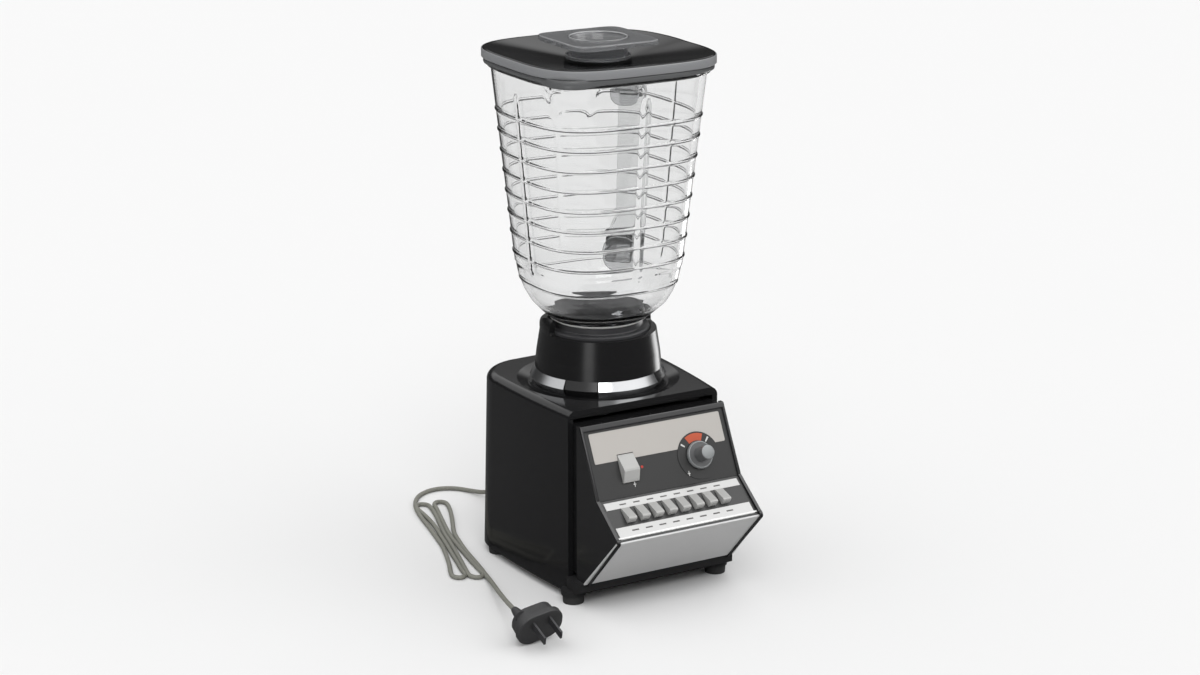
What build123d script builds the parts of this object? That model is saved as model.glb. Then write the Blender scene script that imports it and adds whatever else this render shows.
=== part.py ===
from build123d import *
import math
import os

os.makedirs("parts", exist_ok=True)

# A countertop blender: glass jar with lid and feeder cap on a motor base with a key console.
# Millimetres, +Z up, console towards -Y. Everything is drawn about the drive spindle, and
# keep() moves each finished piece so that the origin is under the middle of the whole object.

# ---- driving dimensions
footprint_shift = (-3.85, 24.26, 0)  # from the spindle frame to the object frame
run_gap = 0.35                      # clearance between pieces that slide past each other

base_z = 6.0                        # underside of the housing, on its feet
roof_z = 140.0
front_y = -64.3
front_half = 61.5                   # half width of the housing at its front
side_half = 67.5                    # and at its widest, near the rear
wall = 2.6

top_edge_y = -75.5                  # console profile: top edge, knee, nose and chin, as (y, z)
top_edge_z = 132.0
knee_y = -99.5
knee_z = 84.0
nose_y = -128.5
nose_z = 62.5
chin_y = -87.5
chin_z = 19.5
console_half = 59.25
cheek_thick = 2.25
plate_thick = 1.2

foot_radius = 8.0
foot_x = 59.3
foot_front_y = -67.5
foot_rear_y = 46.5
foot_places = [
    (-foot_x, foot_front_y), (foot_x, foot_front_y), (1 - foot_x, foot_rear_y), (foot_x - 1, foot_rear_y),
]
screw_places = [(-44, 40), (44, 40), (-44, -38), (44, -38)]

collar_lip_z = 177.3
ear_z = 188.2
collar_bore = 37.8
lip_cut_y = -3.4                    # the front half of the collar stops at the lip behind this

jar_wall = 3.6
rim_z = 372.5
ring_pitch = 14.65
ring_count = 8
ring_low_z = 233.6
thread_radius = 29.8

lid_low_z = 372.9
lid_crest_z = 379.8
feeder_radius = 21.4
cap_top_z = 388.6

key_count = 8
key_pitch = 10.99
key_wide = 6.3
key_first_x = -40.4

cord_dia = 3.3
cord_low = 1.8                      # height of the cord's centre where it lies on the surface


def keep(piece, name):
    moved = piece.moved(Location(footprint_shift))
    moved.label = name
    export_step(moved, f"parts/{name}.step")


# ---- outlines used more than once
def housingPlan(rear, cornerY, cornerX, inset=0):
    hipX = side_half - 10.5
    hipY = cornerY + 0.72 * (rear - cornerY)
    with BuildLine() as outline:
        Line((-front_half, front_y), (front_half, front_y))
        ThreePointArc((front_half, front_y), (side_half - 1.6, -18), (side_half, cornerY))
        ThreePointArc((side_half, cornerY), (hipX, hipY), (cornerX, rear))
        ThreePointArc((cornerX, rear), (0, rear + 1.2), (-cornerX, rear))
        ThreePointArc((-cornerX, rear), (-hipX, hipY), (-side_half, cornerY))
        ThreePointArc((-side_half, cornerY), (1.6 - side_half, -18), (-front_half, front_y))
    make_face(outline.edges())
    if inset:
        offset(amount=-inset)


def squircle(half, power):
    # superellipse |x|^p + |y|^p = half^p, a square with bulging sides
    points = []
    for k in range(16):
        angle = math.radians(k * 22.5)
        c, s = math.cos(angle), math.sin(angle)
        reach = half / (abs(c) ** power + abs(s) ** power) ** (1 / power)
        points.append((reach * c, reach * s))
    with BuildLine() as outline:
        Spline(*points, periodic=True)
    make_face(outline.edges())


# local planes of the console: x to the right, y up the slope, z out of the face
def slopePlane(lowY, lowZ, highY, highZ, x=0.0, depth=0.0):
    length = math.hypot(highY - lowY, highZ - lowZ)
    up = ((highY - lowY) / length, (highZ - lowZ) / length)
    normal = (0, -up[1], up[0])
    origin = (x, highY + normal[1] * depth, highZ + normal[2] * depth)
    return Plane(origin=origin, x_dir=(1, 0, 0), z_dir=normal)


def spokePlane(turn):
    # upright plane through the spindle: x outwards along the given direction, y up
    c, s = math.cos(math.radians(turn)), math.sin(math.radians(turn))
    return Plane(origin=(0, 0, 0), x_dir=(c, s, 0), z_dir=(s, -c, 0))


def upperPlane(depth=0.0):
    return slopePlane(knee_y, knee_z, top_edge_y, top_edge_z, depth=depth)


def keyPlane(depth=0.0):
    return slopePlane(nose_y, nose_z, knee_y, knee_z, depth=depth)


def chinPlane(depth=0.0):
    return slopePlane(chin_y, chin_z, nose_y, nose_z, depth=depth)


upper_length = math.hypot(top_edge_y - knee_y, top_edge_z - knee_z)
key_length = math.hypot(knee_y - nose_y, knee_z - nose_z)
chin_length = math.hypot(nose_y - chin_y, nose_z - chin_z)

# ==== motor base ====
dish_radius = 59.0
dish_z = 137.0
opening_half = 57.3
opening_top = 134.3
post_x = 40.0
bracket_z = 112.0

with BuildPart() as housing:
    with BuildSketch(Plane.XY.offset(base_z)):
        housingPlan(80, 40, 33)
    with BuildSketch(Plane.XY.offset(roof_z)):
        housingPlan(72.5, 34, 30)
    loft(ruled=True)
    fillet(housing.edges().group_by(Axis.Z)[-1].sort_by(Axis.Y)[1:], radius=6)
    with BuildSketch(Plane.XY.offset(base_z)):
        housingPlan(80, 40, 33, wall)
    with BuildSketch(Plane.XY.offset(roof_z - 6.4)):
        housingPlan(72.5, 34, 30, wall)
    loft(ruled=True, mode=Mode.SUBTRACT)
    with BuildSketch(Plane.XZ.offset(-front_y - 5)):
        with Locations((0, (base_z + opening_top) / 2 - 0.5)):
            Rectangle(2 * opening_half, opening_top - base_z + 1)
    extrude(amount=6, mode=Mode.SUBTRACT)
    with BuildSketch(Plane.XZ):
        with BuildLine():
            Polyline(
                (0, dish_z), (51, dish_z), (dish_radius, roof_z), (dish_radius, roof_z + 9), (0, roof_z + 9),
                close=True,
            )
        make_face()
    revolve(axis=Axis.Z, mode=Mode.SUBTRACT)
    with BuildSketch(Plane.XY.offset(bracket_z + 3)):
        with Locations((-post_x, 0), (post_x, 0)):
            Circle(4.5)
    extrude(amount=roof_z - 6 - bracket_z - 3)
    with Locations((0, 0, dish_z)):
        Hole(13.5, depth=12)
    with BuildSketch(Plane.XZ.offset(-84)):
        with Locations((-12, 24)):
            Circle(5.3)
    extrude(amount=9, mode=Mode.SUBTRACT)
    vent_rows = 5
    with BuildSketch(Plane.XZ.offset(-84)):
        with Locations((0, 78)):
            with GridLocations(0, 7, 1, vent_rows):
                SlotOverall(44, 3)
    extrude(amount=12, mode=Mode.SUBTRACT)
keep(housing.part, "motor_housing")

with BuildPart() as base_pan:
    with BuildSketch(Plane.XY.offset(base_z + 0.2)):
        housingPlan(80, 40, 33, wall + 0.4)
    extrude(amount=2.4)
    with BuildSketch(Plane.XY.offset(base_z)):
        with Locations((0, -63)):
            Rectangle(140, 14)
    extrude(amount=5, mode=Mode.SUBTRACT)
    with BuildSketch(Plane.YZ.offset(-opening_half + 0.8)):
        with BuildLine():
            Polyline(
                (-66, base_z), (-52, base_z), (-52, base_z + 2.6), (-57, base_z + 2.6),
                (-57, 18.6), (-66, 18.6),
                close=True,
            )
        make_face()
    extrude(amount=2 * opening_half - 1.6)
    with BuildSketch(Plane.YZ.offset(-63.2)):
        with BuildLine():
            Polyline((-65, base_z), (-71, base_z), (-84.5, 12.6), (-84.5, 18.6), (-65, 18.6), close=True)
        make_face()
    extrude(amount=126.4)
    with BuildSketch(Plane.XY.offset(base_z)):
        with Locations((-foot_x, foot_front_y), (foot_x, foot_front_y)):
            Circle(foot_radius + 0.8)
    extrude(amount=4)
    with BuildSketch(Plane.XY.offset(base_z - 1)):
        with GridLocations(0, 9, 1, 5):
            SlotOverall(52, 3.2)
    extrude(amount=6, mode=Mode.SUBTRACT)
    with Locations([(x, y, base_z + 2.6) for x, y in screw_places]):
        Hole(1.7, depth=3)
keep(base_pan.part, "base_pan")

with BuildPart() as feet:
    with BuildSketch():
        with Locations(foot_places):
            Circle(foot_radius - 0.6)
    extrude(amount=base_z, taper=-4)
    with BuildSketch():
        with Locations(foot_places):
            Circle(3)
    extrude(amount=2, mode=Mode.SUBTRACT)
keep(feet.part, "rubber_feet")

with BuildPart() as pan_screws:
    with BuildSketch(Plane.XY.offset(base_z - 1.4)):
        with Locations(screw_places):
            Circle(3.2)
    extrude(amount=1.6)
    with BuildSketch(Plane.XY.offset(base_z + 0.2)):
        with Locations(screw_places):
            Circle(1.6)
    extrude(amount=8)
keep(pan_screws.part, "pan_screws")

# ==== jar collar and its bright trim ====
belly_radius = 49.5
belly_z = 143.0
seat_z = 151.0
with BuildPart() as collar:
    with BuildSketch(Plane.XZ):
        with BuildLine():
            Polyline((15, 138.1), (49.7, 138.1), (49.7, 137.05), (15, 137.05), close=True)
        make_face()
    revolve(axis=Axis.Z)
    with BuildSketch(Plane.XZ):
        with BuildLine():
            Polyline(
                (15, 138.0), (44.6, 138.0), (44.6, 149.3), (45.9, 149.3), (44.9, 160), (42.2, collar_lip_z),
            )
            ThreePointArc((42.2, collar_lip_z), (41.6, 184.2), (39.4, ear_z))
            Polyline(
                (39.4, ear_z), (38.5, ear_z), (collar_bore, ear_z - 3), (collar_bore, seat_z), (33, seat_z),
                (33, 141), (15, 141), (15, 138.0),
            )
        make_face()
    revolve(axis=Axis.Z)
    with BuildSketch(Plane.YZ.offset(-60)):
        with BuildLine():
            Polyline((lip_cut_y, ear_z + 4), (lip_cut_y, collar_lip_z + 2))
            ThreePointArc(
                (lip_cut_y, collar_lip_z + 2), (lip_cut_y - 0.6, collar_lip_z + 0.6),
                (lip_cut_y - 2, collar_lip_z),
            )
            Polyline(
                (lip_cut_y - 2, collar_lip_z), (-60, collar_lip_z), (-60, ear_z + 4), (lip_cut_y, ear_z + 4),
            )
        make_face()
    extrude(amount=120, mode=Mode.SUBTRACT)
    with BuildSketch(Plane.YZ.offset(-60)):
        with BuildLine():
            ThreePointArc((2, ear_z), (11, 186.6), (19, 182.4))
            Polyline((19, 182.4), (60, 182.4), (60, ear_z + 4), (2, ear_z + 4), (2, ear_z))
        make_face()
    extrude(amount=120, mode=Mode.SUBTRACT)
    for turn in (45, 135, 225, 315):
        with BuildSketch(spokePlane(turn - 14.5)):
            with BuildLine():
                Polyline((44.3, 138), (46.2, 138), (48.8, belly_z), (45.8, 149.3), (44.3, 149.3), close=True)
            make_face()
        revolve(axis=Axis.Z, revolution_arc=29)
keep(collar.part, "jar_collar")

with BuildPart() as trim:
    for turn in (0, 90, 180, 270):
        with BuildSketch(spokePlane(turn - 29.7)):
            with BuildLine():
                Polyline(
                    (44.7, 138.15), (46.5, 138.15), (belly_radius, belly_z), (46.1, 149.2), (44.7, 149.2),
                    close=True,
                )
            make_face()
        revolve(axis=Axis.Z, revolution_arc=59.4)
keep(trim.part, "collar_trim")

# ==== glass jar ====
def jarHalf(z):
    return 55.6 + 0.0843 * (z - 234)


def jarPower(z):
    return 2.9 + 0.0049 * (z - 234)


shoulder = [(185.0, 33.0, 2.0), (191.4, 40.0, 2.15), (198.7, 46.2, 2.45), (207, 50.0, 2.65), (217, 53.0, 2.8)]
body_levels = (234, 270, 306, 342, 368)

with BuildPart() as jar_outer:
    for z, half, power in shoulder:
        with BuildSketch(Plane.XY.offset(z)):
            squircle(half, power)
    for z in body_levels:
        with BuildSketch(Plane.XY.offset(z)):
            squircle(jarHalf(z), jarPower(z))
    loft()
    with BuildSketch(Plane.XY.offset(366.4)):
        squircle(69.3, 3.6)
    extrude(amount=rim_z - 366.4)
    with BuildSketch(Plane.XY.offset(168)):
        Circle(28.5)
    extrude(amount=20)

def spoutLoft(low, high, shrink):
    # two circles in the front left corner, each (distance from the spindle, radius, height)
    rings = []
    for reach, radius, z in (low, high):
        side = -reach * math.sqrt(0.5)
        with BuildSketch(Plane(origin=(side, side, z))) as ring:
            Circle(radius - shrink)
        rings.append(ring.sketch)
    return rings


with BuildPart() as spout_outer:
    loft(spoutLoft((60, 12, 342), (65.5, 20, rim_z), 0))

with BuildPart() as jar:
    add(jar_outer.part)
    add(spout_outer.part)
    for k in range(ring_count):
        z = ring_low_z + ring_pitch * k
        with BuildSketch(Plane.XY.offset(z - 0.8)):
            squircle(jarHalf(z) + 0.9, jarPower(z))
        extrude(amount=1.6)
    for turn in (0, 90, 180, 270):
        face_way = (math.cos(math.radians(turn)), math.sin(math.radians(turn)), 0)
        for z in (224, 352):
            with BuildSketch(Plane(origin=(0, 0, z), x_dir=face_way)):
                with Locations((jarHalf(z) - 0.6, 0)):
                    Rectangle(2.6, 5)
        loft()
    for z in (170.5, 174.5, 178.5):
        with BuildSketch(Plane.XY.offset(z)):
            Circle(thread_radius)
        extrude(amount=1.6)
    floor_levels = [(188.8, 31.0, 2.0), (193.0, 37.4, 2.1)]
    floor_levels += [(z, half - jar_wall, power) for z, half, power in shoulder[2:]]
    for z, half, power in floor_levels:
        with BuildSketch(Plane.XY.offset(z)):
            squircle(half, power)
    for z in body_levels + (376,):
        with BuildSketch(Plane.XY.offset(z)):
            squircle(jarHalf(z) - jar_wall, jarPower(z))
    loft(mode=Mode.SUBTRACT)
    with BuildSketch(Plane.XY.offset(160)):
        Circle(24.8)
    extrude(amount=30, mode=Mode.SUBTRACT)
    loft(spoutLoft((60.2, 12, 343), (65.6, 20, rim_z + 0.5), jar_wall), mode=Mode.SUBTRACT)
keep(jar.part, "glass_jar")

with BuildPart() as handle:
    with BuildSketch(spokePlane(45)):
        with BuildLine():
            outer = FilletPolyline((60, 345.5), (107, 347), (101.5, 232), (56, 211), radius=[17, 15])
            inner = FilletPolyline((54, 231), (89, 241.5), (95.5, 335.5), (58, 334), radius=[8, 9])
            Line(outer @ 1, inner @ 0)
            Line(inner @ 1, outer @ 0)
        make_face()
    extrude(amount=10.6, both=True)
    bends = handle.edges().filter_by(GeomType.CIRCLE).filter_by(lambda e: e.radius > 7.5)
    fillet(bends, radius=2.8)
    add(jar_outer.part, mode=Mode.SUBTRACT)
keep(handle.part, "jar_handle")

# ==== screw base and blades ====
with BuildPart() as nut:
    with BuildSketch(Plane.XZ):
        with BuildLine():
            Polyline(
                (22, 161), (35.4, 161), (35.4, seat_z + run_gap), (36.4, seat_z + run_gap), (37.2, seat_z + 1.2),
                (37.2, 178.7), (36.4, 179.5), (32.8, 179.9), (32.3, 180.6), (32.3, 184.6), (30.2, 184.6),
                (30.2, 164.6), (22, 164.6), close=True,
            )
        make_face()
    revolve(axis=Axis.Z)
    with BuildSketch(Plane.XY.offset(seat_z + 1.5)):
        with PolarLocations(35.8, 8):
            Rectangle(3.4, 3)
    extrude(amount=9.7)
keep(nut.part, "jar_nut")

with BuildPart() as jar_gasket:
    with BuildSketch(Plane.XY.offset(165.8)):
        Circle(29.6)
        Circle(24.8, mode=Mode.SUBTRACT)
    extrude(amount=1.85)
keep(jar_gasket.part, "jar_gasket")

with BuildPart() as blade_base:
    with BuildSketch(Plane.XZ):
        with BuildLine():
            Line((4.6, 162), (4.6, 171.5))
            Polyline((4.6, 171.5), (8.5, 171.5), (10, 170))
            ThreePointArc((10, 170), (16, 168.6), (20.5, 165.8))
            Polyline((20.5, 165.8), (29.6, 165.8), (29.6, 164.6), (9.5, 164.6), (9.5, 162), (4.6, 162))
        make_face()
    revolve(axis=Axis.Z)
keep(blade_base.part, "blade_base")

with BuildPart() as blade_bushing:
    with BuildSketch(Plane.XY.offset(162)):
        Circle(4.6)
        Circle(3.05, mode=Mode.SUBTRACT)
    extrude(amount=9.5)
keep(blade_bushing.part, "blade_bushing")

with BuildPart() as drive_socket:
    with BuildSketch(Plane.XY.offset(153.2)):
        Circle(9)
    extrude(amount=8)
    with BuildSketch(Plane.XY.offset(153.2)):
        RegularPolygon(radius=5.4, side_count=6, major_radius=False)
    extrude(amount=6, mode=Mode.SUBTRACT)
    chamfer(drive_socket.faces().sort_by(Axis.Z)[0].outer_wire().edges(), length=0.8)
keep(drive_socket.part, "drive_socket")

with BuildPart() as blade_shaft:
    with BuildSketch(Plane.XY.offset(159.4)):
        Circle(3)
    extrude(amount=22)
    with BuildSketch(Plane.XY.offset(171.9)):
        Circle(6.2)
    extrude(amount=1.6)
keep(blade_shaft.part, "blade_shaft")

blade_thick = 1.4
with BuildPart() as blades:
    with BuildSketch(Plane.XY.offset(173.6)):
        Circle(6.5)
        Circle(2.95, mode=Mode.SUBTRACT)
    extrude(amount=2 * blade_thick)
    for turn, slope in ((0, 38), (180, 38), (90, -14), (270, -14)):
        low = 173.6 if slope < 0 else 173.6 + blade_thick
        with BuildSketch(spokePlane(turn)):
            with BuildLine():
                c, s = math.cos(math.radians(slope)), math.sin(math.radians(slope))
                rise = -s * blade_thick
                tip = (6 + 17 * c, low + 17 * s)
                Polyline((5, low), (6, low), tip, (tip[0] + rise, tip[1] + c * blade_thick))
                Polyline(
                    (tip[0] + rise, tip[1] + c * blade_thick), (6, low + blade_thick), (5, low + blade_thick),
                    (5, low),
                )
            make_face()
        extrude(amount=3.6, both=True)
keep(blades.part, "blades")

with BuildPart() as blade_cap_nut:
    with BuildSketch(Plane.XY.offset(176.4)):
        RegularPolygon(radius=4.6, side_count=6, major_radius=False)
    extrude(amount=4)
    with BuildSketch(Plane.XY.offset(180.4)):
        Circle(4)
    extrude(amount=2.4)
    fillet(blade_cap_nut.edges().sort_by(Axis.Z)[-1], radius=1.8)
keep(blade_cap_nut.part, "blade_cap_nut")

# ==== lid and feeder cap ====
plug_low_z = 366.8
with BuildPart() as lid:
    with BuildSketch(Plane.XY.offset(lid_low_z)):
        squircle(71.7, 3.65)
    extrude(amount=lid_crest_z - lid_low_z)
    fillet(lid.faces().sort_by(Axis.Z)[-1].edges(), radius=1.5)
    with BuildSketch(Plane.XY.offset(plug_low_z)):
        squircle(60, 3.5)
    extrude(amount=6.2)
    with BuildSketch(Plane.XY.offset(plug_low_z)):
        squircle(57.6, 3.5)
    extrude(amount=375.6 - plug_low_z, mode=Mode.SUBTRACT)
    with BuildSketch(Plane.XY.offset(369.6)):
        squircle(24, 2)
    with BuildSketch(Plane.XY.offset(375.7)):
        squircle(57.9, 3.5)
    loft(ruled=True)
    with BuildSketch(Plane.XY.offset(372.2)):
        squircle(24, 2)
    with BuildSketch(Plane.XY.offset(379.9)):
        squircle(69, 3.65)
    loft(ruled=True, mode=Mode.SUBTRACT)
    with BuildSketch(Plane.XY.offset(368)):
        Circle(23.6)
    extrude(amount=6)
    with BuildSketch(Plane.XY.offset(365)):
        Circle(feeder_radius)
    extrude(amount=12, mode=Mode.SUBTRACT)
keep(lid.part, "lid")

with BuildPart() as lid_gasket:
    with BuildSketch(Plane.XY.offset(plug_low_z + 0.4)):
        squircle(61.2, 3.5)
    extrude(amount=4.4)
    for z in (367.8, 369.8):
        with BuildSketch(Plane.XY.offset(z)):
            squircle(62.4, 3.5)
        extrude(amount=1)
    with BuildSketch(Plane.XY.offset(plug_low_z)):
        squircle(59.95, 3.5)
    extrude(amount=8, mode=Mode.SUBTRACT)
keep(lid_gasket.part, "lid_gasket")

with BuildPart() as cap:
    with BuildSketch(Plane.XY.offset(385)):
        squircle(34, 7)
    extrude(amount=cap_top_z - 385)
    fillet(cap.edges().group_by(Axis.Z)[-1], radius=1.2)
    with BuildSketch(Plane.XY.offset(364)):
        Circle(20.8)
    extrude(amount=22)
    with BuildSketch(Plane.XY.offset(374 + run_gap)):
        Circle(23.2)
    extrude(amount=1.8)
    with BuildSketch(Plane.XZ):
        with BuildLine():
            Polyline(
                (0, 366), (18.8, 366), (18.8, 383), (22, cap_top_z), (22, cap_top_z + 2), (0, cap_top_z + 2),
                close=True,
            )
        make_face()
    revolve(axis=Axis.Z, mode=Mode.SUBTRACT)
keep(cap.part, "feeder_cap")

# ==== console ====
body_half = 57.0


def consoleOutline(rearY):
    with BuildLine() as outline:
        Polyline(
            (top_edge_y, top_edge_z), (knee_y, knee_z), (nose_y, nose_z), (chin_y, chin_z),
            (rearY, chin_z), (rearY, top_edge_z), close=True,
        )
    make_face(outline.edges())


dial_x = 29.4
dial_s = 34.5
rocker_x = -28.5
rocker_s = 34.0

with BuildPart() as console:
    with BuildSketch(Plane.YZ.offset(-body_half)):
        consoleOutline(-58)
        offset(amount=-plate_thick)
    extrude(amount=2 * body_half)
    with BuildSketch(Plane.YZ.offset(3.2 - body_half)):
        consoleOutline(-48)
        offset(amount=-plate_thick - 2.2)
    extrude(amount=2 * body_half - 6.4, mode=Mode.SUBTRACT)
    with BuildSketch(upperPlane()):
        with Locations((dial_x, -dial_s)):
            Circle(6)
        with Locations((rocker_x, -rocker_s)):
            Rectangle(13.4, 21.2)
    extrude(amount=-8, mode=Mode.SUBTRACT)
    with BuildSketch(keyPlane()):
        with Locations([(key_first_x + key_pitch * k, -14.6) for k in range(key_count)]):
            Rectangle(key_wide + 2 * run_gap, 11.8 + 2 * run_gap)
    extrude(amount=-8, mode=Mode.SUBTRACT)
keep(console.part, "console_body")

with BuildPart() as cheeks:
    for side in (-1, 1):
        with BuildSketch(Plane.YZ.offset(side * (body_half + cheek_thick / 2))):
            with BuildLine():
                Polyline(
                    (-72.5, 14.6), (-72.5, top_edge_z), (-75.5, top_edge_z), (-100.2, 85.2), (-127.5, 65.8),
                )
                ThreePointArc((-127.5, 65.8), (-129.6, 63.8), (-129.4, 61.6))
                Polyline((-129.4, 61.6), (-87.3, 18.0), (-83, 17.2), (-72.5, 14.6))
            make_face()
        extrude(amount=cheek_thick / 2, both=True)
keep(cheeks.part, "console_cheeks")

with BuildPart() as face_plate:
    with BuildSketch(upperPlane(-plate_thick)):
        with Locations((0, -upper_length / 2)):
            Rectangle(2 * body_half - 0.1, upper_length - 0.4)
        with Locations((dial_x, -dial_s)):
            Circle(3, mode=Mode.SUBTRACT)
        with Locations((rocker_x, -rocker_s)):
            Rectangle(13.2, 21, mode=Mode.SUBTRACT)
    extrude(amount=plate_thick)
keep(face_plate.part, "face_plate")

with BuildPart() as title_panel:
    with BuildSketch(upperPlane()):
        with Locations((0, -16.9)):
            RectangleRounded(106.6, 21.6, 1)
        with Locations((dial_x, -dial_s)):
            Circle(17.1, mode=Mode.SUBTRACT)
        with Locations((rocker_x, -rocker_s)):
            Rectangle(13.2, 21, mode=Mode.SUBTRACT)
    extrude(amount=0.3)
keep(title_panel.part, "title_panel")

with BuildPart() as dial_disc:
    with BuildSketch(upperPlane()):
        with Locations((dial_x, -dial_s)):
            Circle(17)
            Circle(3, mode=Mode.SUBTRACT)
    extrude(amount=0.5)
keep(dial_disc.part, "dial_disc")

with BuildPart() as knob:
    with BuildSketch(upperPlane(0.85)):
        with Locations((dial_x, -dial_s)):
            Circle(9.8)
    extrude(amount=2.6)
    with BuildSketch(upperPlane(3.4)):
        with Locations((dial_x, -dial_s)):
            Circle(5.2)
    extrude(amount=10.6)
    with BuildSketch(upperPlane(0.8)):
        with Locations((dial_x, -dial_s)):
            Circle(2.2)
    extrude(amount=9, mode=Mode.SUBTRACT)
keep(knob.part, "knob")

with BuildPart() as knob_shaft:
    with BuildSketch(upperPlane(-8.3)):
        with Locations((dial_x, -dial_s)):
            Circle(2.2)
    extrude(amount=17)
keep(knob_shaft.part, "knob_shaft")

with BuildPart() as timer_body:
    with BuildSketch(upperPlane(-27)):
        with Locations((dial_x, -dial_s)):
            RectangleRounded(26, 22, 2)
    extrude(amount=18.4)
keep(timer_body.part, "timer_body")

rocker_plane = Plane(
    origin=upperPlane(-3).from_local_coords((rocker_x, -rocker_s, 0)),
    x_dir=upperPlane().y_dir,
    z_dir=(1, 0, 0),
)
with BuildPart() as rocker:
    with BuildSketch(rocker_plane):
        with BuildLine():
            Polyline(
                (-10, -2), (-10, 4), (-8.6, 5.1), (-2.6, 8.8), (-1.2, 8.8), (8.6, 4.2), (10, 3.4), (10, -2),
                close=True,
            )
        make_face()
        Circle(1.55, mode=Mode.SUBTRACT)
    extrude(amount=6.2, both=True)
    fillet(rocker.edges().filter_by(Axis.X).group_by(Axis.Z)[-1], radius=0.3)
keep(rocker.part, "rocker")

with BuildPart() as rocker_pin:
    with BuildSketch(rocker_plane):
        Circle(1.5)
    extrude(amount=8.2, both=True)
keep(rocker_pin.part, "rocker_pin")

with BuildPart() as rocker_switch:
    with BuildSketch(upperPlane(-24)):
        with Locations((rocker_x, -rocker_s)):
            RectangleRounded(16, 24, 1.5)
    extrude(amount=17)
keep(rocker_switch.part, "rocker_switch")

with BuildPart() as button_panel:
    with BuildSketch(keyPlane(-plate_thick)):
        with Locations((0, -key_length / 2)):
            Rectangle(2 * body_half - 0.1, key_length - 0.4)
        with Locations([(key_first_x + key_pitch * k, -14.6) for k in range(key_count)]):
            Rectangle(key_wide + 2 * run_gap, 11.8 + 2 * run_gap, mode=Mode.SUBTRACT)
    extrude(amount=plate_thick)
keep(button_panel.part, "button_panel")

with BuildPart() as label_strips:
    with BuildSketch(keyPlane()):
        with Locations((0, -5.3)):
            Rectangle(109, 6)
        with Locations((0, -28.2)):
            Rectangle(109, 9.6)
    extrude(amount=0.35)
keep(label_strips.part, "label_strips")

for k in range(key_count):
    key_plane = Plane(
        origin=keyPlane().from_local_coords((key_first_x + key_pitch * k, -14.6, 0)),
        x_dir=keyPlane().y_dir,
        z_dir=(1, 0, 0),
    )
    with BuildPart() as key:
        with BuildSketch(key_plane):
            with BuildLine():
                Polyline((5.9, -7), (5.9, 1.0), (-4.4, 4.9), (-5.4, 4.9), (-5.9, 4.2), (-5.9, -7), close=True)
            make_face()
        extrude(amount=key_wide / 2, both=True)
        with BuildSketch(key_plane):
            with Locations((0, -4.6)):
                Rectangle(13.8, 1.2)
        extrude(amount=4.1, both=True)
    keep(key.part, f"key_{k + 1}")

with BuildPart() as switch_block:
    with BuildSketch(keyPlane(-26)):
        with Locations((key_first_x + 3.5 * key_pitch, -14.6)):
            Rectangle(96, 14)
    extrude(amount=14)
keep(switch_block.part, "switch_block")

with BuildPart() as chin_plate:
    with BuildSketch(chinPlane(-plate_thick)):
        with BuildLine():
            Polyline((-59.3, 0), (59.3, 0), (61.9, -chin_length), (-61.9, -chin_length), close=True)
        make_face()
    extrude(amount=plate_thick)
keep(chin_plate.part, "chin_plate")

# ==== motor, inside the housing ====
with BuildPart() as upper_bracket:
    with BuildSketch(Plane.XY.offset(bracket_z)):
        RectangleRounded(96, 30, 8)
        Circle(8, mode=Mode.SUBTRACT)
    extrude(amount=3)
    with BuildSketch(Plane.XY.offset(104)):
        Circle(11)
        Circle(8, mode=Mode.SUBTRACT)
    extrude(amount=14)
keep(upper_bracket.part, "upper_bracket")

with BuildPart() as lower_bracket:
    with BuildSketch(Plane.XY.offset(38)):
        RectangleRounded(76, 64, 8)
        Circle(8, mode=Mode.SUBTRACT)
    extrude(amount=3)
    with BuildSketch(Plane.XY.offset(30)):
        Circle(11)
        Circle(8, mode=Mode.SUBTRACT)
    extrude(amount=12)
keep(lower_bracket.part, "lower_bracket")

with BuildPart() as bushings:
    for z in (30, 106):
        with BuildSketch(Plane.XY.offset(z)):
            Circle(8)
            Circle(4.04, mode=Mode.SUBTRACT)
        extrude(amount=12)
keep(bushings.part, "motor_bushings")

with BuildPart() as stator:
    with BuildSketch(Plane.XY.offset(64)):
        RectangleRounded(74, 64, 10)
        Circle(22.7, mode=Mode.SUBTRACT)
        with Locations((0, 26.6), (0, -26.6)):
            SlotOverall(38, 7.2, mode=Mode.SUBTRACT)
    extrude(amount=34)
keep(stator.part, "stator_core")

with BuildPart() as coils:
    with BuildSketch(Plane.XY.offset(57)):
        with Locations((0, 26.6), (0, -26.6)):
            SlotOverall(37, 6.2)
    extrude(amount=48)
keep(coils.part, "field_coils")

with BuildPart() as bolts:
    with BuildSketch(Plane.XY.offset(41)):
        with Locations((-33, -24), (33, -24), (-33, 24), (33, 24)):
            Circle(2)
    extrude(amount=23)
    with BuildSketch(Plane.XY.offset(98)):
        with Locations((-42, 0), (42, 0), (-33, 0), (33, 0)):
            Circle(2)
    extrude(amount=14)
keep(bolts.part, "motor_bolts")

with BuildPart() as armature:
    with BuildSketch(Plane.XY.offset(64)):
        Circle(22)
        Circle(4, mode=Mode.SUBTRACT)
        with PolarLocations(21, 16):
            Rectangle(4, 1.6, mode=Mode.SUBTRACT)
    extrude(amount=34)
keep(armature.part, "armature_core")

with BuildPart() as windings:
    for z, radius, deep in ((58.5, 18, 5.3), (98.2, 16, 5.2)):
        with BuildSketch(Plane.XY.offset(z)):
            Circle(radius)
            Circle(4, mode=Mode.SUBTRACT)
        extrude(amount=deep)
    fillet(windings.edges().filter_by(GeomType.CIRCLE).filter_by(lambda e: e.radius > 10), radius=1.8)
keep(windings.part, "armature_windings")

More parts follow.
